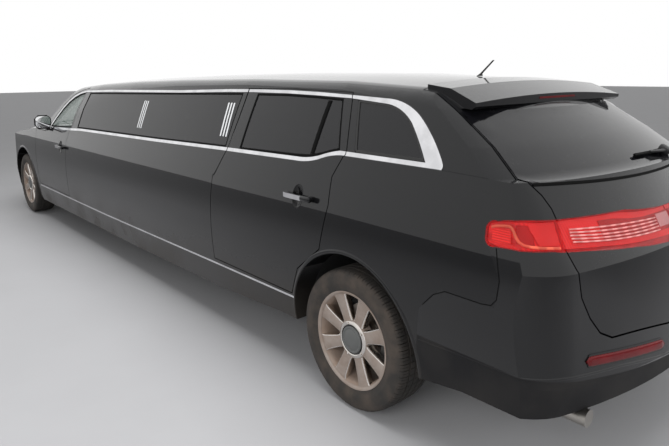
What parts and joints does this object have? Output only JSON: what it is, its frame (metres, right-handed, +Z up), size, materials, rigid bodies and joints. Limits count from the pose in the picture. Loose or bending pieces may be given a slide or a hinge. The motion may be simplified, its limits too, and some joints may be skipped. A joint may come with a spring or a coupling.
{
  "type": "stretch limousine",
  "caption": "Long black stretch limousine with opening doors, hood and tailgate, dark side windows, bright window surround and turning wheels.",
  "frame": {"origin": "on the ground under the middle of the car's length and width", "axes": "+X to the front of the car, +Y to the car's left, +Z up"},
  "size_m": [8.321, 2.17, 1.773],
  "materials": {
    "paint": "gloss black",
    "bumper_plastic": "gloss black over a textured dark lower edge",
    "underbody": "matt black",
    "clear_glass": "clear, slightly green",
    "dark_glass": "dark tinted",
    "bright_trim": "polished",
    "red_lens": "gloss red",
    "clear_lens": "clear",
    "tyre": "dusty",
    "wheel_alloy": "machined",
    "cast_parts": "as cast",
    "exhaust_steel": "satin",
    "seat_leather": "satin",
    "cabinet_wood": "lacquered",
    "cabin_plastic": "matt"
  },
  "bodies": {
    "chassis": {"antenna": "cabin_plastic", "bar_cabinet": "cabinet_wood", "body_side_left": "paint", "body_side_right": "paint", "cowl": "paint", "dashboard": "cabin_plastic", "engine": "cast_parts", "exhaust": "exhaust_steel", "floor_pan": "underbody", "front_bumper": "bumper_plastic", "front_fenders": "paint", "front_seats": "seat_leather", "front_subframe": "cast_parts", "fuel_tank": "cabin_plastic", "grille": "bright_trim", "headlamps": "clear_lens", "lounge_seats": "seat_leather", "partition": "cabin_plastic", "rear_bumper": "bumper_plastic", "rear_subframe": "cast_parts", "roof": "paint", "side_glass": "dark_glass", "side_trim": "bright_trim", "sill_strips": "bright_trim", "steering_wheel": "cabin_plastic", "tail_lamps": "red_lens", "windshield": "clear_glass"},
    "front_left_door": {"front_door_left": "paint", "front_door_glass_left": "clear_glass", "front_door_trim_left": "bright_trim", "mirror_left": "paint"},
    "front_right_door": {"front_door_right": "paint", "front_door_glass_right": "clear_glass", "front_door_trim_right": "bright_trim", "mirror_right": "paint"},
    "rear_left_door": {"rear_door_left": "paint", "rear_door_glass_left": "dark_glass", "rear_door_trim_left": "bright_trim"},
    "rear_right_door": {"rear_door_right": "paint", "rear_door_glass_right": "dark_glass", "rear_door_trim_right": "bright_trim"},
    "hood_lid": {"hood": "paint"},
    "tailgate_lid": {"tailgate": "paint", "tailgate_glass": "dark_glass", "tailgate_lamp": "red_lens", "spoiler": "paint"},
    "front_left_knuckle": {"knuckle_left": "cast_parts"},
    "front_right_knuckle": {"knuckle_right": "cast_parts"},
    "front_left_wheel": {"rim_front_left": "wheel_alloy", "tyre_front_left": "tyre"},
    "front_right_wheel": {"rim_front_right": "wheel_alloy", "tyre_front_right": "tyre"},
    "rear_left_wheel": {"rim_rear_left": "wheel_alloy", "tyre_rear_left": "tyre"},
    "rear_right_wheel": {"rim_rear_right": "wheel_alloy", "tyre_rear_right": "tyre"}
  },
  "joints": [
    {"name": "front_door_left_hinge", "type": "hinge", "parent": "chassis", "child": "front_left_door", "pos_m": [2.5775, 0.968, 0.8], "axis": [0, 0, -1], "range_deg": [0, 65]},
    {"name": "front_door_right_hinge", "type": "hinge", "parent": "chassis", "child": "front_right_door", "pos_m": [2.5775, -0.968, 0.8], "axis": [0, 0, 1], "range_deg": [0, 65]},
    {"name": "rear_door_left_hinge", "type": "hinge", "parent": "chassis", "child": "rear_left_door", "pos_m": [-1.5725, 0.968, 0.8], "axis": [0, 0, -1], "range_deg": [0, 65]},
    {"name": "rear_door_right_hinge", "type": "hinge", "parent": "chassis", "child": "rear_right_door", "pos_m": [-1.5725, -0.968, 0.8], "axis": [0, 0, 1], "range_deg": [0, 65]},
    {"name": "hood_hinge", "type": "hinge", "parent": "chassis", "child": "hood_lid", "pos_m": [2.6905, 0, 1.155], "axis": [0, -1, 0], "range_deg": [0, 60]},
    {"name": "tailgate_hinge", "type": "hinge", "parent": "chassis", "child": "tailgate_lid", "pos_m": [-3.1375, 0, 1.684], "axis": [0, 1, 0], "range_deg": [0, 80]},
    {"name": "steer_left", "type": "hinge", "parent": "chassis", "child": "front_left_knuckle", "pos_m": [3.1305, 0.76, 0.37], "axis": [0, 0, 1], "range_deg": [-33, 33]},
    {"name": "steer_right", "type": "hinge", "parent": "chassis", "child": "front_right_knuckle", "pos_m": [3.1305, -0.76, 0.37], "axis": [0, 0, 1], "range_deg": [-33, 33]},
    {"name": "wheel_front_left", "type": "hinge", "parent": "front_left_knuckle", "child": "front_left_wheel", "pos_m": [3.1305, 0.83, 0.37], "axis": [0, 1, 0], "continuous": true},
    {"name": "wheel_front_right", "type": "hinge", "parent": "front_right_knuckle", "child": "front_right_wheel", "pos_m": [3.1305, -0.83, 0.37], "axis": [0, 1, 0], "continuous": true},
    {"name": "wheel_rear_left", "type": "hinge", "parent": "chassis", "child": "rear_left_wheel", "pos_m": [-2.9125, 0.83, 0.37], "axis": [0, 1, 0], "continuous": true},
    {"name": "wheel_rear_right", "type": "hinge", "parent": "chassis", "child": "rear_right_wheel", "pos_m": [-2.9125, -0.83, 0.37], "axis": [0, 1, 0], "continuous": true}
  ],
  "couplings": [
    {"joint": "steer_right", "follows": "steer_left", "ratio": 1}
  ]
}
